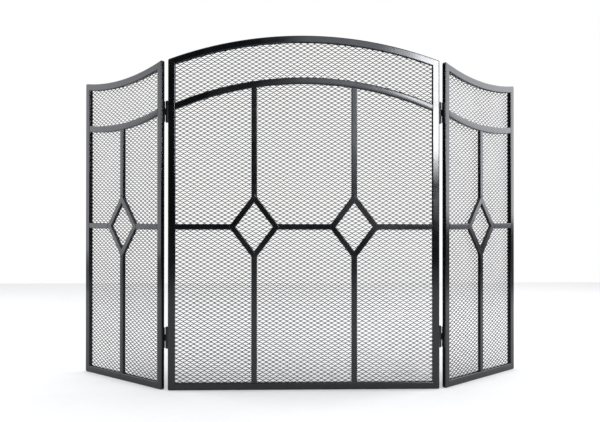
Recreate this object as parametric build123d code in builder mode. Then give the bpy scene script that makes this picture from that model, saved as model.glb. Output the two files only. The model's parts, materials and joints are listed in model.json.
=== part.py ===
"""Folding fireplace screen: an arched centre panel between two swept wings.

Each panel is a mitred frame of rounded rectangular tube with a lattice of flat bars
and two curved rails in front of a sheet of wire mesh.  The mesh is clamped to the back
of the frame by flat strips and screws.  Two butt hinges carry each wing, so that it
swings from nearly straight to folded flat behind the centre panel.

Frame of the model: millimetres, +Z up, the centre panel faces -Y.  The origin is the
middle of the underside of the centre panel's bottom rail.
"""
from build123d import *
from dataclasses import dataclass
import math
import os

# ---- Overall sizes ----
CENTRE_WIDTH = 610.0        # outside of stile to outside of stile
CORNER_HEIGHT = 740.0       # height of every panel at the hinges
ARCH_RISE = 55.0            # crown of the centre arch above its corners
WING_WIDTH = 298.0
WING_OUTER_DROP = 20.0      # a wing's outer corner below its hinge corner
WING_SWEEP_DEPTH = 28.5     # corner height minus the lowest point of the swept top
WING_ANGLE = 42.0           # degrees each wing stands back from straight

# ---- Frame tube ----
TUBE_FACE = 16.0
TUBE_DEPTH = 9.5
TUBE_WALL = 1.2
TUBE_EDGE_RADIUS = 2.0
CORNER_RADIUS = 3.5         # ground corner of the mitred outline

# ---- Inner arch and swept rails ----
RAIL_FACE = 15.0
RAIL_EDGE_CHAMFER = 1.1
INNER_DROP = 104.0          # from the frame's corner to the inner rail's top edge
INNER_ARCH_RISE = 65.0

# ---- Lattice bars ----
BAR_FACE = 12.7
BAR_MESH_GAP = 1.5          # from the back of every bar and rail to the mesh
BAR_EDGE_RADIUS = 1.6
CROSS_BAR_HEIGHT = 365.0    # centre line of every cross bar
UPRIGHT_OFFSET = 112.5      # centre panel's uprights, each side of the middle
DIAMOND_WIDTH = 83.0        # clear opening, corner to corner
DIAMOND_HEIGHT = 108.5

# ---- Mesh and its clamping strips ----
MESH_THICKNESS = 1.0
MESH_INSET = 3.5            # from the frame's outside to the edge of the mesh
STRIP_INSET = 4.0
STRIP_FACE = 9.0
STRIP_THICKNESS = 1.2
STRIP_GAP = 1.0             # between the ends of neighbouring strips
SCREW_RADIUS = 1.4
SCREW_HEAD_RADIUS = 2.8
SCREW_HEAD_HEIGHT = 0.9
SCREW_LENGTH = 7.0          # under the head
SCREW_CLEARANCE = 0.2       # radial, in the strip and the mesh
SCREW_SPACING = 170.0       # most that two neighbouring screws may be apart
SCREW_END_DISTANCE = 18.0   # first screw of a strip from the corner

# ---- Hinges ----
HINGE_GAP = 7.0             # between two stiles when the panels stand straight
HINGE_SETBACK = 4.0         # axis behind the back of the frame
HINGE_HEIGHT = 46.0
HINGE_END_DISTANCE = 116.0  # from the stile's end to the middle of a hinge
BARREL_RADIUS = 3.9
PIN_RADIUS = 2.35
PIN_CLEARANCE = 0.05        # radial
PIN_HEAD_RADIUS = 3.4
PIN_HEAD_HEIGHT = 1.6
KNUCKLE_GAP = 0.4
LEAF_THICKNESS = 1.5
LEAF_MARGIN = 0.9           # leaf's front edge behind the front of the stile
LEAF_BARREL_GAP = 0.4       # leaf plate to the other leaf's knuckle
RIVET_RADIUS = 1.5
RIVET_CLEARANCE = 0.05
RIVET_HEAD_RADIUS = 2.6
RIVET_HEAD_HEIGHT = 0.8
RIVET_TAIL_RADIUS = 2.0
RIVET_TAIL_LENGTH = 1.2
RIVET_SPACING = 26.0        # between the two rivets of a leaf

# ---- Tolerances, for telling which faces and edges lie in a plane ----
PARALLEL = 1e-6
IN_PLANE = 1e-3

# ---- Worked out from the sizes above ----
HALF_WIDTH = CENTRE_WIDTH / 2
BAR_DEPTH = TUBE_DEPTH - BAR_MESH_GAP
FRONT_Y = -TUBE_DEPTH / 2
BACK_Y = TUBE_DEPTH / 2
HINGE_X = HALF_WIDTH + HINGE_GAP / 2
HINGE_Y = BACK_Y + HINGE_SETBACK
HINGE_HEIGHTS = {"lower": HINGE_END_DISTANCE, "upper": CORNER_HEIGHT - HINGE_END_DISTANCE}


@dataclass
class Panel:
    """One panel, drawn in its own front plane: x across, y up."""

    plane: Plane        # faces forwards, with y pointing up
    left: float
    right: float
    arc_x: float        # centre of the top edge's arc
    arc_y: float
    arc_radius: float
    bulge: int          # 1 for an arch that rises, -1 for a hollow sweep

    def top(self, x, inset=0.0):
        """Height of the top edge at x, for an outline drawn in by inset."""
        radius = self.arc_radius - self.bulge * inset
        return self.arc_y + self.bulge * math.sqrt(radius**2 - (x - self.arc_x) ** 2)

    def corners(self, inset):
        """Bottom left, bottom right, top right and top left of the inset outline."""
        left = self.left + inset
        right = self.right - inset
        return (
            (left, inset),
            (right, inset),
            (right, self.top(right, inset)),
            (left, self.top(left, inset)),
        )


def arch_radius(half_width, rise):
    """Radius of an arc from its half chord and its rise."""
    return (half_width**2 + rise**2) / (2 * rise)


def centre_panel():
    radius = arch_radius(HALF_WIDTH, ARCH_RISE)
    front = Plane(origin=(0, FRONT_Y, 0), x_dir=(1, 0, 0), z_dir=(0, -1, 0))
    crown = CORNER_HEIGHT + ARCH_RISE
    return Panel(front, -HALF_WIDTH, HALF_WIDTH, 0.0, crown - radius, radius, 1)


def wing_panel():
    """The right wing, hinged at x = 0 of its plane and swung back by WING_ANGLE."""
    angle = math.radians(WING_ANGLE)
    across = Vector(math.cos(angle), math.sin(angle), 0)
    forwards = Vector(math.sin(angle), -math.cos(angle), 0)
    axis = Vector(HINGE_X, HINGE_Y, 0)
    origin = axis + across * (HINGE_GAP / 2) + forwards * (TUBE_DEPTH + HINGE_SETBACK)
    front = Plane(origin=origin, x_dir=across, z_dir=forwards)
    # The sweep passes through both top corners and just touches its lowest height.
    inner_fall = WING_SWEEP_DEPTH
    outer_fall = WING_SWEEP_DEPTH - WING_OUTER_DROP
    lowest_x = WING_WIDTH / (1 + math.sqrt(outer_fall / inner_fall))
    radius = arch_radius(lowest_x, inner_fall)
    lowest = CORNER_HEIGHT - WING_SWEEP_DEPTH
    return Panel(front, 0.0, WING_WIDTH, lowest_x, lowest + radius, radius, -1)


def inner_arc(panel):
    """The panel's inner rail as a panel whose top edge is that rail's top edge."""
    if panel.bulge > 0:
        radius = arch_radius(HALF_WIDTH, INNER_ARCH_RISE)
        crown = CORNER_HEIGHT - INNER_DROP + INNER_ARCH_RISE
        arc_y = crown - radius
    else:
        radius = panel.arc_radius
        arc_y = panel.arc_y - INNER_DROP
    return Panel(panel.plane, panel.left, panel.right, panel.arc_x, arc_y, radius, panel.bulge)


def save(part, name):
    """Label a finished piece and write it to its own file."""
    part.label = name
    export_step(part, f"parts/{name}.step")


def separate(pieces):
    """Touching pieces kept as solids of their own in one node."""
    return pieces[0] if len(pieces) == 1 else Compound(children=pieces)


# ---- Outlines and bands ----
def draw_arc(panel, left, right, inset):
    """Draw the top edge from left to right, drawn in by inset, inside a BuildLine."""
    radius = panel.arc_radius - panel.bulge * inset
    rises = [panel.top(x, inset) - panel.arc_y for x in (left, right)]
    runs = [x - panel.arc_x for x in (left, right)]
    start, end = sorted(math.degrees(math.atan2(rises[i], runs[i])) for i in (0, 1))
    return CenterArc((panel.arc_x, panel.arc_y), radius, start, end - start)


def draw_outline(panel, inset):
    """Draw the closed outline of a panel, inside a BuildLine."""
    bottom_left, bottom_right, top_right, top_left = panel.corners(inset)
    middle = (top_left[0] + top_right[0]) / 2
    Polyline(top_left, bottom_left, bottom_right, top_right)
    ThreePointArc(top_right, (middle, panel.top(middle, inset)), top_left)


def band(panel, outer_inset, inner_inset, depth_from, depth_to):
    """A closed ring between two insets of the outline, at depths behind the front."""
    with BuildPart() as ring:
        with BuildSketch(panel.plane.offset(-depth_from)) as face:
            with BuildLine():
                draw_outline(panel, outer_inset)
            make_face()
            if CORNER_RADIUS > outer_inset:
                fillet(face.vertices(), radius=CORNER_RADIUS - outer_inset)
            with BuildLine():
                draw_outline(panel, inner_inset)
            make_face(mode=Mode.SUBTRACT)
        extrude(amount=-(depth_to - depth_from))
    return ring.part


def mitre(panel, corner, towards):
    """The cutting plane through one frame corner, facing the point towards."""
    outer = Vector(*panel.corners(0)[corner])
    inner = Vector(*panel.corners(TUBE_FACE)[corner])
    along = inner - outer
    normal = Vector(-along.Y, along.X)
    if normal.dot(Vector(*towards) - outer) < 0:
        normal = normal * -1
    return Plane(
        origin=panel.plane.from_local_coords(outer),
        z_dir=panel.plane.x_dir * normal.X + panel.plane.y_dir * normal.Y,
    )


def across_middle(panel, towards):
    """A cutting plane through the middle of the panel, facing the point towards."""
    middle = Vector((panel.left + panel.right) / 2, CORNER_HEIGHT / 2)
    normal = Vector(*towards) - middle
    return Plane(
        origin=panel.plane.from_local_coords(middle),
        z_dir=panel.plane.x_dir * normal.X + panel.plane.y_dir * normal.Y,
    )


def flat_edges(part, panel):
    """The edges of an extruded part that lie in its front and back faces."""
    normal = panel.plane.z_dir
    faces = [f for f in part.faces() if abs(abs(f.normal_at().dot(normal)) - 1) < PARALLEL]
    return ShapeList(e for f in faces if f.geom_type == GeomType.PLANE for e in f.edges())


# ---- Screws ----
def spaced(start, end):
    """Evenly spaced values from start to end, no further apart than SCREW_SPACING."""
    count = math.ceil(abs(end - start) / SCREW_SPACING)
    return [start + (end - start) * i / count for i in range(count + 1)]


def screw_points(panel):
    """Screw positions along the middle of the four clamping strips."""
    inset = STRIP_INSET + STRIP_FACE / 2
    low, right_low, right_high, left_high = panel.corners(inset)
    reach = SCREW_END_DISTANCE
    across = spaced(low[0] + reach, right_low[0] - reach)
    points = [(x, low[1]) for x in across]
    points += [(x, panel.top(x, inset)) for x in across]
    points += [(low[0], y) for y in spaced(low[1] + reach, left_high[1] - reach)]
    points += [(right_low[0], y) for y in spaced(low[1] + reach, right_high[1] - reach)]
    return points


def drill_screws(panel, radius, depth_from, depth_to):
    """Cylinders at every screw position, from one depth to another."""
    with BuildPart() as drills:
        with BuildSketch(panel.plane.offset(-depth_from)):
            with Locations(*screw_points(panel)):
                Circle(radius)
        extrude(amount=-(depth_to - depth_from))
    return drills.part


def rivet_depth():
    """Depth of the rivets behind the front of a stile."""
    return TUBE_DEPTH / 2


# ---- Frame members ----
def frame_hollow(panel, hinge_sides):
    """All that is empty in the panel's tubes: the bore, the screw and rivet holes."""
    inner_wall = TUBE_FACE - TUBE_WALL
    with BuildPart() as hollow:
        add(band(panel, TUBE_WALL, inner_wall, TUBE_WALL, TUBE_DEPTH - TUBE_WALL))
        add(drill_screws(panel, SCREW_RADIUS, TUBE_DEPTH / 2, TUBE_DEPTH))
        for side in hinge_sides:
            add(rivet_drills(panel, side))
    return hollow.part


def rivet_drills(panel, side):
    """Rivet holes through the outside wall of the stile at x = side."""
    with BuildPart() as drills:
        start = panel.plane.from_local_coords(Vector(side, 0, -rivet_depth()))
        wall = Plane(origin=start, x_dir=panel.plane.y_dir, z_dir=panel.plane.x_dir)
        with BuildSketch(wall):
            with Locations(*[(z, 0) for z in rivet_heights()]):
                Circle(RIVET_RADIUS + RIVET_CLEARANCE)
        extrude(amount=TUBE_FACE / 2, both=True)
    return drills.part


def rivet_heights():
    return [
        height + offset
        for height in HINGE_HEIGHTS.values()
        for offset in (-RIVET_SPACING / 2, RIVET_SPACING / 2)
    ]


def frame_member(panel, hollow, corner_a, corner_b):
    """The length of tube between two mitred corners."""
    points = panel.corners(0)
    towards = tuple((a + b) / 2 for a, b in zip(points[corner_a], points[corner_b]))
    cuts = [mitre(panel, corner, towards) for corner in (corner_a, corner_b)]
    with BuildPart() as member:
        add(band(panel, 0, TUBE_FACE, 0, TUBE_DEPTH))
        split(bisect_by=across_middle(panel, towards), keep=Keep.TOP)
        for cut in cuts:
            split(bisect_by=cut, keep=Keep.TOP)
        long_edges = [
            edge
            for edge in flat_edges(member.part, panel)
            if all(abs(cut.to_local_coords(edge @ 0.5).Z) > IN_PLANE for cut in cuts)
        ]
        fillet(ShapeList(long_edges), radius=TUBE_EDGE_RADIUS)
        add(hollow, mode=Mode.SUBTRACT)
    return member.part


def inner_rail(panel):
    """The curved rail below the top one, between the two stiles."""
    arc = inner_arc(panel)
    left = panel.left + TUBE_FACE
    right = panel.right - TUBE_FACE
    with BuildPart() as rail:
        with BuildSketch(panel.plane):
            with BuildLine():
                upper = draw_arc(arc, left, right, 0)
                lower = draw_arc(arc, left, right, RAIL_FACE)
                Line(upper @ 0, lower @ 0)
                Line(upper @ 1, lower @ 1)
            make_face()
        extrude(amount=-BAR_DEPTH)
        long_edges = flat_edges(rail.part, panel).filter_by(GeomType.CIRCLE)
        chamfer(long_edges, length=RAIL_EDGE_CHAMFER)
    return rail.part


# ---- Lattice ----
def diamond_half_sizes(margin=0.0):
    """Half width and half height of the diamond, grown by margin on every side."""
    half_width = DIAMOND_WIDTH / 2
    half_height = DIAMOND_HEIGHT / 2
    side = math.hypot(half_width, half_height)
    reach = half_width * half_height / side
    scale = (reach + margin) / reach
    return half_width * scale, half_height * scale


def diamond(panel, x):
    """Four mitred bars around the diamond, welded at its points."""
    inner_width, inner_height = diamond_half_sizes()
    outer_width, outer_height = diamond_half_sizes(BAR_FACE)
    centre = CROSS_BAR_HEIGHT
    with BuildPart() as bar:
        with BuildSketch(panel.plane):
            with BuildLine():
                Polyline(
                    (x, centre + inner_height),
                    (x, centre + outer_height),
                    (x + outer_width, centre),
                    (x + inner_width, centre),
                    close=True,
                )
            make_face()
        extrude(amount=-BAR_DEPTH)
        mitred = outer_height - inner_height + outer_width - inner_width
        long_edges = [e for e in flat_edges(bar.part, panel) if e.length > mitred / 2 + BAR_FACE]
        fillet(ShapeList(long_edges), radius=BAR_EDGE_RADIUS)
    middle = panel.plane.from_local_coords(Vector(x, centre, 0))
    upright = Plane(origin=middle, z_dir=panel.plane.x_dir)
    level = Plane(origin=middle, z_dir=panel.plane.y_dir)
    upper = [bar.part, mirror(bar.part, about=upright)]
    return separate(upper + [mirror(piece, about=level) for piece in upper])


def diamond_block(panel, x):
    """The full outside shape of a diamond, to cut the bars that meet it."""
    half_width, half_height = diamond_half_sizes(BAR_FACE)
    centre = CROSS_BAR_HEIGHT
    with BuildPart() as block:
        with BuildSketch(panel.plane):
            with BuildLine():
                Polyline(
                    (x, centre + half_height),
                    (x + half_width, centre),
                    (x, centre - half_height),
                    (x - half_width, centre),
                    close=True,
                )
            make_face()
        extrude(amount=-BAR_DEPTH)
    return block.part


def bar(panel, left, right, bottom, top, cutters):
    """A flat bar with rounded long edges, with its ends cut to what it meets."""
    with BuildPart() as piece:
        with BuildSketch(panel.plane):
            with Locations(((left + right) / 2, (bottom + top) / 2)):
                Rectangle(right - left, top - bottom)
        extrude(amount=-BAR_DEPTH)
        length = max(right - left, top - bottom)
        long_edges = [e for e in piece.edges() if abs(e.length - length) < PARALLEL]
        fillet(ShapeList(long_edges), radius=BAR_EDGE_RADIUS)
        for cutter in cutters:
            add(cutter, mode=Mode.SUBTRACT)
    return piece.part


def rail_block(panel):
    """Everything above the inner rail's lower edge, to cut the uprights."""
    arc = inner_arc(panel)
    left = panel.left
    right = panel.right
    middle = (left + right) / 2
    with BuildPart() as block:
        with BuildSketch(panel.plane):
            with BuildLine():
                lower = [(x, arc.top(x, RAIL_FACE)) for x in (left, middle, right)]
                ThreePointArc(*lower)
                Polyline(lower[-1], (right, CORNER_HEIGHT), (left, CORNER_HEIGHT), lower[0])
            make_face()
        extrude(amount=-BAR_DEPTH)
    return block.part


def uprights(panel, x):
    """The upper and the lower upright at x."""
    left = x - BAR_FACE / 2
    right = x + BAR_FACE / 2
    cutter = diamond_block(panel, x)
    arc = inner_arc(panel)
    rail_height = max(arc.top(left), arc.top(right))
    upper = bar(panel, left, right, CROSS_BAR_HEIGHT, rail_height, [cutter, rail_block(panel)])
    lower = bar(panel, left, right, TUBE_FACE, CROSS_BAR_HEIGHT, [cutter])
    return upper, lower


def cross_bar(panel, left, right, diamonds):
    """A cross bar from left to right, with its ends cut to the diamonds."""
    bottom = CROSS_BAR_HEIGHT - BAR_FACE / 2
    cutters = [diamond_block(panel, x) for x in diamonds]
    return bar(panel, left, right, bottom, bottom + BAR_FACE, cutters)


# ---- Mesh, strips and screws ----
def mesh_sheet(panel):
    """The mesh as a plain sheet on the back of the frame."""
    with BuildPart() as sheet:
        with BuildSketch(panel.plane.offset(-TUBE_DEPTH)):
            with BuildLine():
                draw_outline(panel, MESH_INSET)
            make_face()
        extrude(amount=-MESH_THICKNESS)
        back = TUBE_DEPTH + MESH_THICKNESS
        drills = drill_screws(panel, SCREW_RADIUS + SCREW_CLEARANCE, TUBE_DEPTH, back)
        add(drills, mode=Mode.SUBTRACT)
    return sheet.part


def clamping_strips(panel):
    """Four flat strips that clamp the mesh, one along each frame member."""
    front = TUBE_DEPTH + MESH_THICKNESS
    back = front + STRIP_THICKNESS
    inner_inset = STRIP_INSET + STRIP_FACE
    cut_length = STRIP_FACE * 2
    low_left, low_right, high_right, high_left = panel.corners(inner_inset)
    with BuildPart() as strips:
        add(band(panel, STRIP_INSET, inner_inset, front, back))
        with BuildSketch(panel.plane.offset(-front)):
            for x in (low_left[0] - STRIP_FACE / 2, low_right[0] + STRIP_FACE / 2):
                with Locations((x, low_left[1] + STRIP_GAP / 2)):
                    Rectangle(cut_length, STRIP_GAP)
            for x, y, step in (
                (high_left[0], high_left[1], STRIP_GAP / 2),
                (high_right[0], high_right[1], -STRIP_GAP / 2),
            ):
                with Locations((x + step, y)):
                    Rectangle(STRIP_GAP, cut_length * 2)
        extrude(amount=-STRIP_THICKNESS, mode=Mode.SUBTRACT)
        drills = drill_screws(panel, SCREW_RADIUS + SCREW_CLEARANCE, front, back)
        add(drills, mode=Mode.SUBTRACT)
    return strips.part


def strip_screws(panel):
    """Low-headed screws through the strips and the mesh into the tube."""
    under_head = TUBE_DEPTH + MESH_THICKNESS + STRIP_THICKNESS
    with BuildPart() as screws:
        with BuildSketch(panel.plane.offset(-under_head)):
            with Locations(*screw_points(panel)):
                Circle(SCREW_HEAD_RADIUS)
        extrude(amount=-SCREW_HEAD_HEIGHT)
        with BuildSketch(panel.plane.offset(-under_head)):
            with Locations(*screw_points(panel)):
                Circle(SCREW_RADIUS)
        extrude(amount=SCREW_LENGTH)
    return screws.part


# ---- Hinges ----
def knuckle_spans(height):
    """Lower and upper end of the three knuckles of the hinge at this height."""
    length = (HINGE_HEIGHT - 2 * KNUCKLE_GAP) / 3
    bottom = height - HINGE_HEIGHT / 2
    starts = [bottom + i * (length + KNUCKLE_GAP) for i in range(3)]
    return [(start, start + length) for start in starts]


def hinge_plane(angle, height):
    """A level plane on the hinge axis whose x runs along a panel turned by angle."""
    turn = math.radians(angle)
    return Plane(
        origin=(HINGE_X, HINGE_Y, height),
        x_dir=(math.cos(turn), math.sin(turn), 0),
        z_dir=(0, 0, 1),
    )


def leaf(angle, side, height, knuckles):
    """A hinge leaf on its stile, at side -1 or 1 of the axis, with its knuckles."""
    spans = [knuckle_spans(height)[i] for i in knuckles]
    bottom = height - HINGE_HEIGHT / 2
    plate_x = side * (HINGE_GAP - LEAF_THICKNESS) / 2
    front = -(HINGE_SETBACK + TUBE_DEPTH - LEAF_MARGIN)
    back = -(BARREL_RADIUS + LEAF_BARREL_GAP)
    with BuildPart() as piece:
        with BuildSketch(hinge_plane(angle, bottom)):
            with Locations((plate_x, (front + back) / 2)):
                Rectangle(LEAF_THICKNESS, back - front)
        extrude(amount=HINGE_HEIGHT)
        for low, high in spans:
            with BuildSketch(hinge_plane(angle, low)):
                with Locations((plate_x, back / 2)):
                    Rectangle(LEAF_THICKNESS, -back)
                Circle(BARREL_RADIUS)
                Circle(PIN_RADIUS + PIN_CLEARANCE, mode=Mode.SUBTRACT)
            extrude(amount=high - low)
        add(leaf_drills(angle, side, height), mode=Mode.SUBTRACT)
    return piece.part


def rivet_plane(angle, side, height):
    """A plane on the stile's side face whose normal points at the hinge axis."""
    flat = hinge_plane(angle, height)
    start = flat.from_local_coords(Vector(side * HINGE_GAP / 2, rivet_offset(), 0))
    return Plane(origin=start, x_dir=(0, 0, 1), z_dir=flat.x_dir * -side)


def rivet_offset():
    """The rivets' place in front of the hinge axis."""
    return rivet_depth() - TUBE_DEPTH - HINGE_SETBACK


def leaf_drills(angle, side, height):
    with BuildPart() as drills:
        with BuildSketch(rivet_plane(angle, side, height)):
            with Locations((-RIVET_SPACING / 2, 0), (RIVET_SPACING / 2, 0)):
                Circle(RIVET_RADIUS + RIVET_CLEARANCE)
        extrude(amount=LEAF_THICKNESS)
    return drills.part


def leaf_rivets(angle, side):
    """The four rivets of one stile: head on the leaf, tail inside the tube."""
    with BuildPart() as rivets:
        for height in HINGE_HEIGHTS.values():
            seat = rivet_plane(angle, side, height)
            stations = ((-RIVET_SPACING / 2, 0), (RIVET_SPACING / 2, 0))
            with BuildSketch(seat.offset(LEAF_THICKNESS)):
                with Locations(*stations):
                    Circle(RIVET_HEAD_RADIUS)
            extrude(amount=RIVET_HEAD_HEIGHT)
            with BuildSketch(seat.offset(LEAF_THICKNESS)):
                with Locations(*stations):
                    Circle(RIVET_RADIUS)
            extrude(amount=-(LEAF_THICKNESS + TUBE_WALL))
            with BuildSketch(seat.offset(-TUBE_WALL)):
                with Locations(*stations):
                    Circle(RIVET_TAIL_RADIUS)
            extrude(amount=-RIVET_TAIL_LENGTH)
    return rivets.part


def hinge_pin(height):
    """The pin, headed at both ends."""
    bottom = height - HINGE_HEIGHT / 2
    with BuildPart() as pin:
        with BuildSketch(hinge_plane(0, bottom)):
            Circle(PIN_RADIUS)
        extrude(amount=HINGE_HEIGHT)
        for start, step in ((bottom, -PIN_HEAD_HEIGHT), (bottom + HINGE_HEIGHT, PIN_HEAD_HEIGHT)):
            with BuildSketch(hinge_plane(0, start)):
                Circle(PIN_HEAD_RADIUS)
            extrude(amount=step)
        rims = pin.edges().filter_by(GeomType.CIRCLE).sort_by(Axis.Z)
        fillet([rims[0], rims[-1]], radius=PIN_HEAD_HEIGHT / 2)
    return pin.part


def save_pair(part, name):
    """Write a right-hand piece and its mirror image on the left."""
    save(part, f"right_{name}")
    save(separate([mirror(solid, about=Plane.YZ) for solid in part.solids()]), f"left_{name}")


def build_centre():
    panel = centre_panel()
    hollow = frame_hollow(panel, (panel.left, panel.right))
    for name, corners in {
        "centre_bottom_rail": (0, 1),
        "centre_right_stile": (1, 2),
        "centre_top_arch": (2, 3),
        "centre_left_stile": (3, 0),
    }.items():
        save(frame_member(panel, hollow, *corners), name)
    save(inner_rail(panel), "centre_inner_arch")
    for name, x in (("left", -UPRIGHT_OFFSET), ("right", UPRIGHT_OFFSET)):
        save(diamond(panel, x), f"centre_{name}_diamond")
        upper, lower = uprights(panel, x)
        save(upper, f"centre_{name}_upper_upright")
        save(lower, f"centre_{name}_lower_upright")
    inside = HALF_WIDTH - TUBE_FACE
    for name, ends, diamonds in (
        ("left", (-inside, -UPRIGHT_OFFSET), (-UPRIGHT_OFFSET,)),
        ("middle", (-UPRIGHT_OFFSET, UPRIGHT_OFFSET), (-UPRIGHT_OFFSET, UPRIGHT_OFFSET)),
        ("right", (UPRIGHT_OFFSET, inside), (UPRIGHT_OFFSET,)),
    ):
        save(cross_bar(panel, *ends, diamonds), f"centre_{name}_cross_bar")
    save(mesh_sheet(panel), "centre_mesh")
    save(clamping_strips(panel), "centre_mesh_strips")
    save(strip_screws(panel), "centre_strip_screws")


def build_wings():
    panel = wing_panel()
    hollow = frame_hollow(panel, (panel.left,))
    for name, corners in {
        "wing_bottom_rail": (0, 1),
        "wing_outer_stile": (1, 2),
        "wing_top_rail": (2, 3),
        "wing_hinge_stile": (3, 0),
    }.items():
        save_pair(frame_member(panel, hollow, *corners), name)
    save_pair(inner_rail(panel), "wing_inner_rail")
    middle = WING_WIDTH / 2
    save_pair(diamond(panel, middle), "wing_diamond")
    upper, lower = uprights(panel, middle)
    save_pair(upper, "wing_upper_upright")
    save_pair(lower, "wing_lower_upright")
    save_pair(cross_bar(panel, TUBE_FACE, middle, (middle,)), "wing_inner_cross_bar")
    save_pair(cross_bar(panel, middle, WING_WIDTH - TUBE_FACE, (middle,)), "wing_outer_cross_bar")
    save_pair(mesh_sheet(panel), "wing_mesh")
    save_pair(clamping_strips(panel), "wing_mesh_strips")
    save_pair(strip_screws(panel), "wing_strip_screws")


def build_hinges():
    for name, height in HINGE_HEIGHTS.items():
        save_pair(leaf(0, -1, height, (0, 2)), f"{name}_hinge_centre_leaf")
        save_pair(leaf(WING_ANGLE, 1, height, (1,)), f"{name}_hinge_wing_leaf")
        save_pair(hinge_pin(height), f"{name}_hinge_pin")
    save_pair(leaf_rivets(WING_ANGLE, 1), "wing_hinge_rivets")
    with BuildPart() as centre_rivets:
        add(leaf_rivets(0, -1))
        mirror(about=Plane.YZ)
    save(centre_rivets.part, "centre_hinge_rivets")


os.makedirs("parts", exist_ok=True)
build_centre()
build_wings()
build_hinges()
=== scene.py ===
# %% [markdown]
# # A folding fireplace screen
#
# The screen has an arched centre panel and two wings that stand back from it on butt
# hinges.  Each panel is a mitred frame of steel tube with flat lattice bars, and a sheet
# of expanded steel mesh is clamped behind it.  The frame, lattice and hinges come from
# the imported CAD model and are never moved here.  What CAD draws plainly (the mesh, the
# curved rails' soft edges, the screws, the rivets and the welds) is modelled below.

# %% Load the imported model
import bmesh
import bpy
import json
import math
from mathutils import Matrix, Vector

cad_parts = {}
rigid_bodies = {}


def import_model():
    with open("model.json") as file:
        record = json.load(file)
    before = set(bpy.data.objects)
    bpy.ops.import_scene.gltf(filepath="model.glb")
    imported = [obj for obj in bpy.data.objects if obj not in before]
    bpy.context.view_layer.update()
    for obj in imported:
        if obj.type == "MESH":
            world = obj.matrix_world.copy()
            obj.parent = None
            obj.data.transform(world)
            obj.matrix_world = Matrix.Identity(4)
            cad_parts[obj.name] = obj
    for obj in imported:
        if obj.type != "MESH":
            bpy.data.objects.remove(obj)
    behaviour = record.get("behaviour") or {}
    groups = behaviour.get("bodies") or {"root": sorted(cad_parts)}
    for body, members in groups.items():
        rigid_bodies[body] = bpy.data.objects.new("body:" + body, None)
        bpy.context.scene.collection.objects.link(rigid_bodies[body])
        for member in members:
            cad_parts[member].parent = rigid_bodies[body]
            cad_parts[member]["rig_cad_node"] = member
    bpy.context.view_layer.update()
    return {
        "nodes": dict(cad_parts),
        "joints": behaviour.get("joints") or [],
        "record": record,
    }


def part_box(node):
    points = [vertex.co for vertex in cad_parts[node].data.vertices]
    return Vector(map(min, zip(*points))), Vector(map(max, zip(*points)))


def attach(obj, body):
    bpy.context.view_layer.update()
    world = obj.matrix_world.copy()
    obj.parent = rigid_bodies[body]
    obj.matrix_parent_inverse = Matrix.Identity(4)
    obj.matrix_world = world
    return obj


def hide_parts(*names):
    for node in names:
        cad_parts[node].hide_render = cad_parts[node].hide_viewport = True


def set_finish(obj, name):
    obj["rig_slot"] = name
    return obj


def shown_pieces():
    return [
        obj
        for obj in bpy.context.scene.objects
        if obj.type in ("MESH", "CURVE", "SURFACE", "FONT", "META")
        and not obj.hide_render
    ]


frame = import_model()

# %% [markdown]
# ## Sizes
#
# The CAD is drawn in millimetres and Blender works in metres, so one constant turns one
# into the other.  A panel is modelled flat, as on a bench: x runs across it, y goes back
# from its front face and z goes up.  One matrix for each panel then stands it in place.

# %% Sizes of the panels
MM = 0.001
CENTRE_WIDTH = 610 * MM
CORNER_HEIGHT = 740 * MM
ARCH_RISE = 55 * MM
WING_WIDTH = 298 * MM
WING_OUTER_DROP = 20 * MM
WING_SWEEP_DEPTH = 28.5 * MM
WING_ANGLE = math.radians(42)
TUBE_FACE = 16 * MM
TUBE_DEPTH = 9.5 * MM
BAR_FACE = 12.7 * MM
BAR_DEPTH = 8 * MM
RAIL_FACE = 15 * MM
RAIL_DROP = 104 * MM
INNER_ARCH_RISE = 65 * MM
CROSS_BAR_HEIGHT = 365 * MM
UPRIGHT_OFFSET = 112.5 * MM
HINGE_GAP = 7 * MM
HINGE_SETBACK = 4 * MM


def arc_of(half_width, rise):
    """Radius of the arc with this half chord and this rise."""
    return (half_width**2 + rise**2) / (2 * rise)


def centre_arc(crown, rise):
    """Centre x, centre z, radius and direction of an arch over the centre panel."""
    radius = arc_of(CENTRE_WIDTH / 2, rise)
    return 0.0, crown - radius, radius, 1


inner_fall = WING_SWEEP_DEPTH
outer_fall = WING_SWEEP_DEPTH - WING_OUTER_DROP
sweep_x = WING_WIDTH / (1 + math.sqrt(outer_fall / inner_fall))
sweep_radius = arc_of(sweep_x, inner_fall)
sweep_z = CORNER_HEIGHT - WING_SWEEP_DEPTH + sweep_radius
rail_crown = CORNER_HEIGHT - RAIL_DROP + INNER_ARCH_RISE
OUTLINES = {
    "centre": (
        -CENTRE_WIDTH / 2, CENTRE_WIDTH / 2, centre_arc(CORNER_HEIGHT + ARCH_RISE, ARCH_RISE),
    ),
    "wing": (0.0, WING_WIDTH, (sweep_x, sweep_z, sweep_radius, -1)),
}
RAIL_ARCS = {
    "centre": centre_arc(rail_crown, INNER_ARCH_RISE),
    "wing": (sweep_x, sweep_z - RAIL_DROP, sweep_radius, -1),
}
print("arch radius mm", round(OUTLINES["centre"][2][2] / MM, 1))
print("sweep radius mm", round(sweep_radius / MM, 1))

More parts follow.
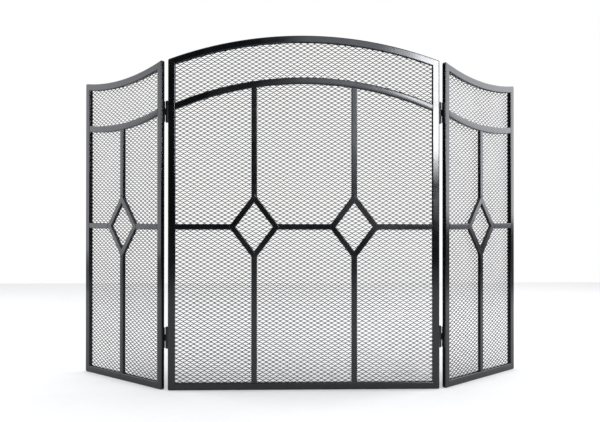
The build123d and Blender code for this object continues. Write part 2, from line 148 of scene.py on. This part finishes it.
# %% Where each panel stands
hinge = next(j for j in frame["joints"] if j["child"] == "right_wing")["pos_m"]
across = Vector((math.cos(WING_ANGLE), math.sin(WING_ANGLE), 0))
backwards = Vector((-math.sin(WING_ANGLE), math.cos(WING_ANGLE), 0))
wing_start = Vector((hinge[0], hinge[1], 0)) + across * HINGE_GAP / 2
wing_start -= backwards * (TUBE_DEPTH + HINGE_SETBACK)
wing_place = Matrix.Translation(wing_start) @ Matrix.Rotation(WING_ANGLE, 4, "Z")
PLACES = {
    "centre": Matrix.Translation((0, -TUBE_DEPTH / 2, 0)),
    "right_wing": wing_place,
    "left_wing": Matrix.Scale(-1, 4, (1, 0, 0)) @ wing_place,
}
print("right wing's front corner mm", [round(v / MM, 2) for v in wing_start])

# %% [markdown]
# ## Helpers
#
# Blender's operators act on everything that is selected, so a piece is made the only
# selected object before each one.  Faces are picked in code by where they lie and which
# way they face, as they would be picked by eye in the viewport.


# %% Picking objects and faces
def only(piece):
    """Makes this the one selected and active object."""
    bpy.ops.object.select_all(action="DESELECT")
    piece.select_set(True)
    bpy.context.view_layer.objects.active = piece


def start_piece(name):
    """Names the primitive that was just added and opens it for editing."""
    piece = bpy.context.active_object
    piece.name = piece.data.name = name
    bpy.ops.object.transform_apply(location=True, rotation=True, scale=True)
    bpy.ops.object.mode_set(mode="EDIT")
    return piece


def pick_faces(piece, wanted):
    """Selects, in edit mode, the faces whose centre and normal pass the test."""
    bpy.ops.mesh.select_mode(type="FACE")
    bpy.ops.mesh.select_all(action="DESELECT")
    shape = bmesh.from_edit_mesh(piece.data)
    for face in shape.faces:
        face.select_set(wanted(face.calc_center_median(), face.normal))
    bmesh.update_edit_mesh(piece.data)


def modify(piece, kind, **settings):
    """Adds a modifier, sets it and applies it."""
    only(piece)
    bpy.ops.object.modifier_add(type=kind)
    modifier = piece.modifiers[-1]
    for name, value in settings.items():
        setattr(modifier, name, value)
    bpy.ops.object.modifier_apply(modifier=modifier.name)


def another(piece, name):
    """A copy of a piece with a mesh of its own."""
    copy = piece.copy()
    copy.data = piece.data.copy()
    copy.name = copy.data.name = name
    bpy.context.scene.collection.objects.link(copy)
    return copy


def join(pieces, name):
    """Several pieces as one object."""
    bpy.ops.object.select_all(action="DESELECT")
    for piece in pieces:
        piece.select_set(True)
    bpy.context.view_layer.objects.active = pieces[0]
    bpy.ops.object.join()
    pieces[0].name = pieces[0].data.name = name
    return pieces[0]


def set_in(piece, place, smooth_angle=30):
    """Puts a piece's place in its mesh, turns its faces outwards and smooths it."""
    piece.matrix_world = place
    only(piece)
    bpy.ops.object.transform_apply(location=True, rotation=True, scale=True)
    bpy.ops.object.mode_set(mode="EDIT")
    bpy.ops.mesh.select_all(action="SELECT")
    bpy.ops.mesh.normals_make_consistent(inside=False)
    bpy.ops.object.mode_set(mode="OBJECT")
    bpy.ops.object.shade_smooth_by_angle(angle=math.radians(smooth_angle))
    return piece


def triangles(piece):
    return sum(len(face.vertices) - 2 for face in piece.data.polygons)


# %% [markdown]
# ## The expanded mesh
#
# Expanded mesh starts as a steel sheet that is slit in staggered rows and pulled open.
# Each row between two lines of slits becomes a zigzag strand, joined to the next at every
# point and left tilted by the pull.  So one period of a strand is modelled and repeated
# with arrays across and up the panel.  Then it is cut to the panel's outline, as shears
# would cut it.  The cut is a boolean with a block of that outline, because the top edge
# is curved and every cut strand has to be closed.  The tilt matters most to the eye: it
# makes the strands glint.

# %% One zigzag strand, repeated and cut to the panel
CELL_WIDTH = 15.5 * MM
CELL_HEIGHT = 9.2 * MM
STRAND_WIDTH = 1.7 * MM
STRAND_THICKNESS = 0.62 * MM
SHEET_THICKNESS = 1.0 * MM
BOND_OVERLAP = 0.3 * MM
MESH_INSET = 3.5 * MM
CHORD = 26 * MM


def arc_height(arc, x, inset):
    """Height of an outline's arc at x, drawn in by inset."""
    centre_x, centre_z, radius, rises = arc
    radius -= rises * inset
    return centre_z + rises * math.sqrt(radius**2 - (x - centre_x) ** 2)


def sheet_outline(left, right, bottom, arc):
    """A block with the sheet's outline.  What lies outside it is sheared away."""
    chords = math.ceil((right - left) / CHORD)
    bpy.ops.object.select_all(action="DESELECT")
    bpy.ops.mesh.primitive_grid_add(
        x_subdivisions=chords, y_subdivisions=1, size=1,
        location=((left + right) / 2, TUBE_DEPTH - SHEET_THICKNESS, 0),
        rotation=(math.pi / 2, 0, 0),
    )
    bpy.context.active_object.scale = (right - left, 1, 1)
    block = start_piece("sheet outline")
    shape = bmesh.from_edit_mesh(block.data)
    for vertex in shape.verts:
        top = arc_height(arc, vertex.co.x, MESH_INSET)
        vertex.co.z = top if vertex.co.z > 0 else bottom
    bmesh.update_edit_mesh(block.data)
    bpy.ops.mesh.select_all(action="SELECT")
    bpy.ops.mesh.extrude_region_move(
        TRANSFORM_OT_translate={"value": (0, 3 * SHEET_THICKNESS, 0)}
    )
    bpy.ops.mesh.select_all(action="SELECT")
    bpy.ops.mesh.normals_make_consistent(inside=False)
    bpy.ops.object.mode_set(mode="OBJECT")
    return block


def expanded_sheet(panel):
    left, right, arc = OUTLINES[panel]
    left, right, bottom = left + MESH_INSET, right - MESH_INSET, MESH_INSET
    height = max(arc_height(arc, x, 0) for x in (left, right, (left + right) / 2))
    fall = CELL_HEIGHT / 2 - STRAND_WIDTH + BOND_OVERLAP
    middle = (left + right) / 2
    columns = 2 * math.ceil((right - left) / 2 / CELL_WIDTH) + 2
    first = middle - columns / 2 * CELL_WIDTH
    bpy.ops.object.select_all(action="DESELECT")
    bpy.ops.mesh.primitive_plane_add(
        size=1, location=(first, TUBE_DEPTH + SHEET_THICKNESS / 2, 0), rotation=(0, math.pi / 2, 0)
    )
    bpy.context.active_object.scale = (STRAND_WIDTH, STRAND_THICKNESS, 1)
    piece = start_piece(f"{panel} strand")
    shape = bmesh.from_edit_mesh(piece.data)
    tilt = (SHEET_THICKNESS - STRAND_THICKNESS) / 2
    for vertex in shape.verts:
        vertex.co.y += tilt if vertex.co.z > 0 else -tilt
    bmesh.update_edit_mesh(piece.data)
    for step in (-fall, fall):
        bpy.ops.mesh.extrude_region_move(
            TRANSFORM_OT_translate={"value": (CELL_WIDTH / 2, 0, step)}
        )
    last = first + CELL_WIDTH
    pick_faces(piece, lambda c, n: min(abs(c.x - first), abs(c.x - last)) < 0.1 * MM)
    bpy.ops.mesh.delete(type="ONLY_FACE")
    bpy.ops.object.mode_set(mode="OBJECT")
    rows = math.ceil(height / CELL_HEIGHT) + 1
    for count, step in (
        (columns, (CELL_WIDTH, 0, 0)),
        (2, (-CELL_WIDTH / 2, 0, CELL_HEIGHT / 2)),
        (rows, (0, 0, CELL_HEIGHT)),
    ):
        modify(
            piece, "ARRAY", count=count, use_relative_offset=False, use_constant_offset=True,
            constant_offset_displace=step, use_merge_vertices=True, merge_threshold=0.01 * MM,
        )
    bpy.ops.object.mode_set(mode="EDIT")
    bpy.ops.mesh.select_all(action="SELECT")
    bpy.ops.mesh.fill_holes(sides=4)
    bpy.ops.mesh.select_all(action="SELECT")
    bpy.ops.mesh.normals_make_consistent(inside=False)
    bpy.ops.object.mode_set(mode="OBJECT")
    outline = sheet_outline(left, right, bottom, arc)
    modify(piece, "BOOLEAN", operation="INTERSECT", object=outline, solver="MANIFOLD")
    bpy.data.objects.remove(outline)
    return piece


sheets = {panel: expanded_sheet(panel) for panel in OUTLINES}
for panel, piece in sheets.items():
    print(panel, "mesh:", triangles(piece), "triangles")

# %% Stand the three sheets behind their frames
BODIES = {"centre": "centre", "right_wing": "wing", "left_wing": "wing"}
mesh_pieces = {}
for body, panel in BODIES.items():
    piece = another(sheets[panel], f"{body}_expanded_mesh")
    mesh_pieces[body] = set_in(piece, PLACES[body], smooth_angle=20)
    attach(piece, body)
    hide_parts(f"{body}_mesh")
    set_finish(piece, "wire_mesh")
for piece in sheets.values():
    bpy.data.objects.remove(piece)
low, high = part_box("right_wing_mesh")
corners = [v.co for v in mesh_pieces["right_wing"].data.vertices]
print("right sheet mm", [round((min(c[i] for c in corners) - low[i]) / MM, 2) for i in range(3)])

# %% [markdown]
# ## The curved inner rails
#
# The rails are flat bar, rolled to a curve, with mill-rounded edges.  A rounded section
# spun round the arc's own centre is just how a bar goes through the rolls, and gives a
# rail with the same softness of edge as the straight bars beside it.

# %% Spin a rounded section through the arc
EDGE_RADIUS = 1.6 * MM


def cut(point, outward):
    """Cuts the selected faces at a plane, clears what lies beyond and caps the cut."""
    bpy.ops.mesh.bisect(plane_co=point, plane_no=outward, clear_outer=True, use_fill=True)


def curved_rail(panel):
    left, right, _ = OUTLINES[panel]
    centre_x, centre_z, radius, rises = RAIL_ARCS[panel]
    left, right = left + TUBE_FACE, right - TUBE_FACE
    angles = []
    for x in (left - BAR_DEPTH, right + BAR_DEPTH):
        height = arc_height(RAIL_ARCS[panel], x, 0)
        angles.append(math.atan2(height - centre_z, x - centre_x))
    start, end = sorted(angles)
    middle = radius - rises * RAIL_FACE / 2
    place = (
        centre_x + middle * math.cos(start), BAR_DEPTH / 2, centre_z + middle * math.sin(start),
    )
    bpy.ops.object.select_all(action="DESELECT")
    bpy.ops.mesh.primitive_plane_add(size=1, location=place, rotation=(0, -start, 0))
    bpy.context.active_object.scale = (RAIL_FACE, BAR_DEPTH, 1)
    piece = start_piece(f"{panel} rail")
    bpy.ops.mesh.bevel(offset=EDGE_RADIUS, segments=4, affect="VERTICES")
    bpy.ops.mesh.select_all(action="SELECT")
    steps = 72 if panel == "centre" else 36
    bpy.ops.mesh.spin(
        steps=steps, angle=end - start, center=(centre_x, 0, centre_z), axis=(0, 1, 0)
    )
    for x, outward in ((left, (-1, 0, 0)), (right, (1, 0, 0))):
        bpy.ops.mesh.select_all(action="SELECT")
        cut((x, 0, 0), outward)
    bpy.ops.object.mode_set(mode="OBJECT")
    ends = [v.co.x / MM for v in piece.data.vertices]
    print(panel, "rail from", round(min(ends), 1), "to", round(max(ends), 1), "mm")
    return piece


rails = {panel: curved_rail(panel) for panel in OUTLINES}
for body, panel in BODIES.items():
    name = "inner_arch" if panel == "centre" else "inner_rail"
    piece = set_in(another(rails[panel], f"{body}_{name}_rolled"), PLACES[body])
    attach(piece, body)
    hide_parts(f"{body}_{name}")
    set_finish(piece, "lattice_steel")
for piece in rails.values():
    bpy.data.objects.remove(piece)

# %% [markdown]
# ## The screws that hold the clamping strips
#
# These are small pan-head screws.  The head is a short cylinder whose rim is bevelled
# over, with a cross recess cut by a boolean, as a punch leaves it.  The shank is drawn
# out of the underside.  One screw is made and copied to every place in the CAD.

# %% Model one screw, pointing forwards along -y
HEAD_RADIUS = 2.8 * MM
HEAD_HEIGHT = 0.9 * MM
SHANK_RADIUS = 1.4 * MM
SHANK_LENGTH = 7 * MM
RECESS_WIDTH = 0.7 * MM
RECESS_LENGTH = 3.2 * MM
RECESS_DEPTH = 0.45 * MM
SCREW_RIM = 0.6 * MM
GOLDEN_TURN = 2.399     # radians, so that no two recesses in a row line up


def headed_shank(name, head_radius, head_height, shank_radius, shank_length, rim):
    """A domed head whose underside is at the origin, with a shank along -y."""
    bpy.ops.object.select_all(action="DESELECT")
    bpy.ops.mesh.primitive_cylinder_add(
        vertices=28, radius=head_radius, depth=head_height,
        location=(0, head_height / 2, 0), rotation=(-math.pi / 2, 0, 0),
    )
    piece = start_piece(name)
    pick_faces(piece, lambda c, n: n.y > 0.9)
    bpy.ops.mesh.bevel(offset=rim, segments=4, affect="EDGES")
    pick_faces(piece, lambda c, n: n.y < -0.9)
    bpy.ops.mesh.inset(thickness=head_radius - shank_radius)
    bpy.ops.mesh.extrude_region_move(TRANSFORM_OT_translate={"value": (0, -shank_length, 0)})
    bpy.ops.object.mode_set(mode="OBJECT")
    return piece


screw = headed_shank("screw", HEAD_RADIUS, HEAD_HEIGHT, SHANK_RADIUS, SHANK_LENGTH, SCREW_RIM)
punches = []
for size in ((RECESS_LENGTH, RECESS_WIDTH), (RECESS_WIDTH, RECESS_LENGTH)):
    bpy.ops.object.select_all(action="DESELECT")
    bpy.ops.mesh.primitive_cube_add(size=1, location=(0, HEAD_HEIGHT, 0))
    bpy.context.active_object.scale = (size[0], 2 * RECESS_DEPTH, size[1])
    punches.append(start_piece("punch"))
    bpy.ops.object.mode_set(mode="OBJECT")
for punch in punches:
    modify(screw, "BOOLEAN", operation="DIFFERENCE", object=punch, solver="EXACT")
    bpy.data.objects.remove(punch)
print("one screw:", triangles(screw), "triangles")


# %% Copy it to every place where the CAD has one
def stations(node, place, reach):
    """x, z and back of each cluster of a CAD node's points, in a panel's flat frame."""
    to_flat = place.inverted()
    groups = []
    for vertex in frame["nodes"][node].data.vertices:
        point = to_flat @ vertex.co
        for group in groups:
            if math.hypot(point.x - group[0].x, point.z - group[0].z) < reach:
                group.append(point)
                break
        else:
            groups.append([point])
    middles = []
    for group in groups:
        (x0, x1), (_, back), (z0, z1) = [
            (min(p[i] for p in group), max(p[i] for p in group)) for i in range(3)
        ]
        middles.append(((x0 + x1) / 2, (z0 + z1) / 2, back))
    return middles


def copies_at(piece, spots):
    """A copy of a piece at each (place, turn) in a panel's flat frame."""
    copies = []
    for place, turn in spots:
        copy = another(piece, f"{piece.name} {len(copies)}")
        copy.matrix_world = Matrix.Translation(place) @ turn
        only(copy)
        bpy.ops.object.transform_apply(location=True, rotation=True, scale=True)
        copies.append(copy)
    return copies


for body in BODIES:
    node = f"{body}_strip_screws"
    spots = [
        ((x, back - HEAD_HEIGHT, z), Matrix.Rotation(number * GOLDEN_TURN, 4, "Y"))
        for number, (x, z, back) in enumerate(stations(node, PLACES[body], 4 * HEAD_RADIUS))
    ]
    piece = set_in(join(copies_at(screw, spots), f"{body}_pan_head_screws"), PLACES[body])
    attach(piece, body)
    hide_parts(node)
    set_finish(piece, "fastener_steel")
    print(body, "screws:", len(spots))
bpy.data.objects.remove(screw)

# %% [markdown]
# ## The hinge rivets
#
# Each leaf is held to its stile by two rivets with low domed heads.  They are the same
# shape as the screws without the recess, so the same maker draws them.  They lie across
# the panel, so each is turned to point out of the stile's side.

# %% Four rivets in each hinged stile
LEAF_THICKNESS = 1.5 * MM
HINGE_END_DISTANCE = 116 * MM
RIVET_SPACING = 26 * MM
RIVET_HEAD_RADIUS = 2.6 * MM
RIVET_HEAD_HEIGHT = 0.8 * MM
RIVET_RADIUS = 1.5 * MM
RIVET_LENGTH = 3.8 * MM
RIVET_RIM = 0.55 * MM
RIVET_HEIGHTS = [
    hinge_height + offset
    for hinge_height in (HINGE_END_DISTANCE, CORNER_HEIGHT - HINGE_END_DISTANCE)
    for offset in (-RIVET_SPACING / 2, RIVET_SPACING / 2)
]
RIVET_SIDES = {
    "centre": ((CENTRE_WIDTH / 2 + LEAF_THICKNESS, 1), (-CENTRE_WIDTH / 2 - LEAF_THICKNESS, -1)),
    "wing": ((-LEAF_THICKNESS, -1),),
}
rivet = headed_shank(
    "rivet", RIVET_HEAD_RADIUS, RIVET_HEAD_HEIGHT, RIVET_RADIUS, RIVET_LENGTH, RIVET_RIM
)
for body, panel in BODIES.items():
    spots = [
        ((x, TUBE_DEPTH / 2, z), Matrix.Rotation(-side * math.pi / 2, 4, "Z"))
        for x, side in RIVET_SIDES[panel]
        for z in RIVET_HEIGHTS
    ]
    piece = set_in(join(copies_at(rivet, spots), f"{body}_domed_rivets"), PLACES[body])
    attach(piece, body)
    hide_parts(f"{body}_hinge_rivets")
    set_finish(piece, "fastener_steel")
    print(body, "rivets:", len(spots))
bpy.data.objects.remove(rivet)

# %% [markdown]
# ## Weld beads on the back
#
# The fronts of the joints are ground flush before painting, so they look seamless.  On
# the back, where the mesh hides them, the welder leaves short beads.  A bead is a row of
# overlapping puddles, so it is drawn out of a small disc in steps, each a little wider
# or narrower than the last.

# %% Draw one bead and copy it to the back of every joint
BEAD_LENGTH = 9 * MM
BEAD_START_RADIUS = 0.5 * MM
BEAD_GROWTH = (2.0, 0.85, 1.18, 0.85, 1.18, 0.85, 1.18, 0.85, 0.5)
BEAD_FLATNESS = 0.55            # depth over width
BEAD_SHARES = (0.07, 0.95)      # how far out along a diamond's sides the beads lie
DIAMOND_WIDTH = 83 * MM
DIAMOND_HEIGHT = 108.5 * MM

bpy.ops.object.select_all(action="DESELECT")
bpy.ops.mesh.primitive_circle_add(
    vertices=10, radius=BEAD_START_RADIUS, fill_type="NGON",
    location=(-BEAD_LENGTH / 2, 0, 0), rotation=(0, math.pi / 2, 0),
)
bead = start_piece("weld bead")
bpy.ops.mesh.select_mode(type="FACE")
for growth in BEAD_GROWTH:
    bpy.ops.mesh.extrude_region_move(
        TRANSFORM_OT_translate={"value": (BEAD_LENGTH / len(BEAD_GROWTH), 0, 0)}
    )
    bpy.ops.transform.resize(value=(1, growth, growth), center_override=(0, 0, 0))
bpy.ops.mesh.select_all(action="SELECT")
bpy.ops.transform.resize(value=(1, BEAD_FLATNESS, 1), center_override=(0, 0, 0))
bpy.ops.object.mode_set(mode="OBJECT")


def bead_places(panel):
    """x, z and turn of each bead: straight ones at bar ends, and V pairs at diamonds."""
    left, right, _ = OUTLINES[panel]
    left, right = left + TUBE_FACE, right - TUBE_FACE
    half_width, half_height = DIAMOND_WIDTH / 2, DIAMOND_HEIGHT / 2
    side = math.hypot(half_width, half_height)
    # The opening's outline grows by this much when it is offset by the width of a bar.
    grown = 1 + BAR_FACE * side / (half_width * half_height)
    middles = (-UPRIGHT_OFFSET, UPRIGHT_OFFSET) if panel == "centre" else (WING_WIDTH / 2,)
    places = [(x, CROSS_BAR_HEIGHT, math.pi / 2) for x in (left, right)]
    places += [
        (x, arc_height(RAIL_ARCS[panel], x, RAIL_FACE / 2), math.pi / 2) for x in (left, right)
    ]
    for x in middles:
        places.append((x, TUBE_FACE, 0))
        places.append((x, arc_height(RAIL_ARCS[panel], x, RAIL_FACE), 0))
        slope = math.atan2(half_height, half_width)
        for across_sign in (-1, 1):
            for up_sign in (-1, 1):
                for share in BEAD_SHARES:
                    places.append((
                        x + across_sign * share * half_width * grown,
                        CROSS_BAR_HEIGHT + up_sign * (1 - share) * half_height * grown,
                        across_sign * up_sign * slope,
                    ))
    return places


for body, panel in BODIES.items():
    spots = [
        ((x, BAR_DEPTH, z), Matrix.Rotation(turn, 4, "Y")) for x, z, turn in bead_places(panel)
    ]
    piece = set_in(join(copies_at(bead, spots), f"{body}_weld_beads"), PLACES[body])
    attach(piece, body)
    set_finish(piece, "lattice_steel")
    print(body, "weld beads:", len(spots))
bpy.data.objects.remove(bead)

# %% [markdown]
# ## Finishes
#
# Everything is steel under black paint, so the finishes differ in how the steel was
# covered: baked enamel on the frame and lattice, a thin matt dip on the mesh, black
# oxide on hinges and screws.  Real paint is never quite even.  It has an orange-peel
# ripple, smudges from hands and dust, and bright steel where edges have been knocked.

# %% Colours and nodes
def linear(colour):
    """An sRGB hex colour as Blender's linear RGBA."""
    parts = [int(colour[i : i + 2], 16) / 255 for i in (1, 3, 5)]
    linear_parts = [c / 12.92 if c <= 0.04045 else ((c + 0.055) / 1.055) ** 2.4 for c in parts]
    return (*linear_parts, 1.0)


def add_node(tree, kind, links=(), **settings):
    """Adds a node, sets its sockets or properties, and links its inputs."""
    node = tree.nodes.new(kind)
    for name, value in settings.items():
        socket = name.replace("_", " ")
        if socket in node.inputs and node.inputs[socket].enabled:
            node.inputs[socket].default_value = value
        else:
            setattr(node, name, value)
    for source, target in links:
        tree.links.new(source, node.inputs[target])
    return node


def per_size(millimetres):
    """Noise scale, in metres of Object coordinates, for a feature of this size."""
    return 1 / (millimetres * MM)


# A Mix node has sockets for numbers, vectors and colours, and these are the colours'.
MIX_A, MIX_B, MIX_RESULT = 6, 7, 2

# %% One recipe for painted steel
SMUDGE_MM = 70
SPECK_MM = 9


def painted_steel(
    name, paint, dust, bare, roughness, peel_mm, peel_depth_mm, worn, metallic=0.0
):
    """Paint over steel: smudges change its gloss, dust its colour, and knocks its edges."""
    material = bpy.data.materials.new(name)
    material.use_nodes = True
    tree = material.node_tree
    shader = tree.nodes["Principled BSDF"]
    place = add_node(tree, "ShaderNodeTexCoord").outputs["Object"]
    smudges = add_node(
        tree, "ShaderNodeTexNoise", [(place, "Vector")],
        Scale=per_size(SMUDGE_MM), Detail=4.0, Distortion=0.6,
    )
    gloss = add_node(
        tree, "ShaderNodeMapRange", [(smudges.outputs[0], "Value")],
        From_Min=0.35, From_Max=0.65, To_Min=roughness[0], To_Max=roughness[1],
    )
    specks = add_node(
        tree, "ShaderNodeTexNoise", [(place, "Vector")],
        Scale=per_size(SPECK_MM), Detail=6.0, Roughness=0.7,
    )
    settled = add_node(
        tree, "ShaderNodeMapRange", [(specks.outputs[0], "Value")],
        From_Min=0.42, From_Max=0.75, To_Min=0.0, To_Max=0.6,
    )
    colour = add_node(tree, "ShaderNodeMix", [(settled.outputs[0], 0)], data_type="RGBA")
    colour.inputs[MIX_A].default_value = linear(paint)
    colour.inputs[MIX_B].default_value = linear(dust)
    surface = colour.outputs[MIX_RESULT]
    if worn:
        facing = add_node(tree, "ShaderNodeNewGeometry").outputs["Normal"]
        rounded = add_node(tree, "ShaderNodeBevel", samples=4, Radius=0.5 * MM)
        same = add_node(
            tree, "ShaderNodeVectorMath", [(facing, 0), (rounded.outputs[0], 1)],
            operation="DOT_PRODUCT",
        )
        edge = add_node(
            tree, "ShaderNodeMapRange", [(same.outputs["Value"], "Value")],
            From_Min=0.995, From_Max=0.93, To_Min=0.0, To_Max=worn,
        )
        knocks = add_node(
            tree, "ShaderNodeMapRange", [(smudges.outputs[0], "Value")],
            From_Min=0.5, From_Max=0.62, To_Min=0.0, To_Max=1.0,
        )
        rubbed = add_node(
            tree, "ShaderNodeMath", [(edge.outputs[0], 0), (knocks.outputs[0], 1)],
            operation="MULTIPLY",
        )
        mixed = add_node(
            tree, "ShaderNodeMix", [(rubbed.outputs[0], 0), (surface, MIX_A)], data_type="RGBA"
        )
        mixed.inputs[MIX_B].default_value = linear(bare)
        surface = mixed.outputs[MIX_RESULT]
    peel = add_node(
        tree, "ShaderNodeTexNoise", [(place, "Vector")], Scale=per_size(peel_mm), Detail=2.0
    )
    ripple = add_node(
        tree, "ShaderNodeBump", [(peel.outputs[0], "Height")],
        Strength=0.6, Distance=peel_depth_mm * MM,
    )
    tree.links.new(surface, shader.inputs["Base Color"])
    tree.links.new(gloss.outputs[0], shader.inputs["Roughness"])
    tree.links.new(ripple.outputs[0], shader.inputs["Normal"])
    shader.inputs["Metallic"].default_value = metallic
    shader.inputs["Specular Tint"].default_value = linear("#f6f7fc")
    return material


# %% The six finishes
FINISHES = {
    # Stoved enamel on tube: deep black, and glossy enough to mirror the lights softly.
    "frame_steel": painted_steel(
        "satin black stoved enamel on tube", "#060709", "#0e0f12", "#5b5d60",
        (0.10, 0.17), 2.2, 0.004, 0.5,
    ),
    # The same enamel, sprayed into the lattice's corners, so a little drier and duller.
    "lattice_steel": painted_steel(
        "satin black stoved enamel on flat bar", "#060709", "#0f1013", "#56585b",
        (0.14, 0.22), 2.0, 0.005, 0.4,
    ),
    # Dipped matt black: too thin to ripple, and it lets the tilted strands glint.
    "wire_mesh": painted_steel(
        "matt black dip on expanded steel", "#0a0b0c", "#161718", "#606264",
        (0.34, 0.48), 1.2, 0.010, 0.0,
    ),
    "strip_steel": painted_steel(
        "black painted steel strip", "#0f1012", "#222326", "#5a5c5e",
        (0.36, 0.50), 1.6, 0.012, 0.4,
    ),
    # Oiled black oxide is part of the metal, so it stays metallic and wears to steel.
    "hinge_steel": painted_steel(
        "oiled black oxide on hinge steel", "#26272a", "#35363a", "#8a8c90",
        (0.30, 0.42), 1.0, 0.006, 0.7, 0.7,
    ),
    "fastener_steel": painted_steel(
        "black zinc plate on screws", "#2b2c2f", "#3c3d41", "#9a9ca0",
        (0.28, 0.40), 0.8, 0.004, 0.6, 0.9,
    ),
}
slots = {part["node"]: part["material_slot"] for part in frame["record"]["subparts"]}
for name, node in frame["nodes"].items():
    node.data.materials.clear()
    node.data.materials.append(FINISHES[slots[name]])
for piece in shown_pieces():
    if "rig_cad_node" not in piece:
        piece.data.materials.clear()
        piece.data.materials.append(FINISHES[piece["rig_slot"]])

# %% [markdown]
# ## Camera, floor and light
#
# Black gloss shows almost nothing but what it reflects, so the lights are placed by
# where each face looks.  A wing turned back by 42 degrees reflects what stands beside
# the screen, and the centre panel reflects what is behind the camera.  So there is a
# tall softbox at each side with a dim board under it, a narrow bright one to the front
# right that whitens only the right stile, a weak fill in front, and a broad one overhead
# that lights the floor.

# %% Camera at eye level for the screen
camera = bpy.data.objects.new("camera", bpy.data.cameras.new("camera"))
bpy.context.scene.collection.objects.link(camera)
camera.location = (-0.0544, -1.6229, 0.394)
camera.rotation_euler = [math.radians(a) for a in (90.235, -0.03, -1.578)]
camera.data.lens = 43.3
camera.data.sensor_width = 36
bpy.context.scene.camera = camera

# %% Pale floor
FLOOR_SIZE = 5
GRAIN_MM = 30

bpy.ops.object.select_all(action="DESELECT")
bpy.ops.mesh.primitive_plane_add(size=FLOOR_SIZE, location=(0, 0, 0))
floor = bpy.context.active_object
floor.name = "studio floor"
paper = bpy.data.materials.new("white seamless paper")
paper.use_nodes = True
sheet = paper.node_tree
place = add_node(sheet, "ShaderNodeTexCoord").outputs["Object"]
grain = add_node(sheet, "ShaderNodeTexNoise", [(place, "Vector")], Scale=per_size(GRAIN_MM))
tone = add_node(sheet, "ShaderNodeMix", [(grain.outputs[0], 0)], data_type="RGBA")
tone.inputs[MIX_A].default_value = linear("#f2f2f3")
tone.inputs[MIX_B].default_value = linear("#f6f6f6")
paper_shader = sheet.nodes["Principled BSDF"]
sheet.links.new(tone.outputs[MIX_RESULT], paper_shader.inputs["Base Color"])
paper_shader.inputs["Roughness"].default_value = 0.9
floor.data.materials.append(paper)


# %% Softboxes
def softbox(name, place, target, width, height, radiance, tint="#ffffff"):
    """A rectangular light at a place, facing a target, as bright as radiance says."""
    data = bpy.data.lights.new(name, "AREA")
    data.shape = "RECTANGLE"
    data.size, data.size_y = width, height
    data.energy = radiance * math.pi * width * height
    data.color = linear(tint)[:3]
    light = bpy.data.objects.new(name, data)
    bpy.context.scene.collection.objects.link(light)
    light.location = place
    light.rotation_euler = (Vector(target) - Vector(place)).to_track_quat("-Z", "Y").to_euler()
    light.visible_camera = False


softbox("left softbox", (-2.1, 0.58, 1.05), (0, 0.58, 1.05), 1.1, 1.7, 2.7, "#fafbff")
softbox("left board", (-2.1, 0.58, 0.1), (0, 0.58, 0.1), 1.1, 0.2, 0.8, "#fafbff")
softbox("right softbox", (2.1, 0.66, 1.13), (0, 0.66, 1.13), 1.1, 1.54, 4.6, "#fafbff")
softbox("right board", (2.1, 0.66, 0.18), (0, 0.66, 0.18), 1.1, 0.36, 0.35, "#fafbff")
softbox("front right softbox", (1.9, -6.0, 1.68), (1.9, 0, 1.68), 1.0, 1.5, 36.0)
softbox("front fill softbox", (0.43, -3.05, 1.5), (0.43, 0, 1.5), 0.8, 1.6, 2.6, "#f4fbff")
softbox("overhead softbox", (0, 0, 3.2), (0, 0.001, 0), 12.0, 12.0, 1.12)

# %% Surroundings: a white cove to the eye, a dim room to the reflections
world = bpy.data.worlds.new("white cove")
bpy.context.scene.world = world
world.use_nodes = True
sky = world.node_tree
room = sky.nodes["Background"]
room.inputs["Color"].default_value = linear("#ccd4e0")
room.inputs["Strength"].default_value = 0.03
cove = add_node(sky, "ShaderNodeBackground", Color=linear("#ffffff"), Strength=1.0)
seen = add_node(sky, "ShaderNodeLightPath").outputs["Is Camera Ray"]
both = add_node(
    sky, "ShaderNodeMixShader", [(seen, 0), (room.outputs[0], 1), (cove.outputs[0], 2)]
)
sky.links.new(both.outputs[0], sky.nodes["World Output"].inputs["Surface"])
bpy.context.scene.view_settings.view_transform = "Standard"
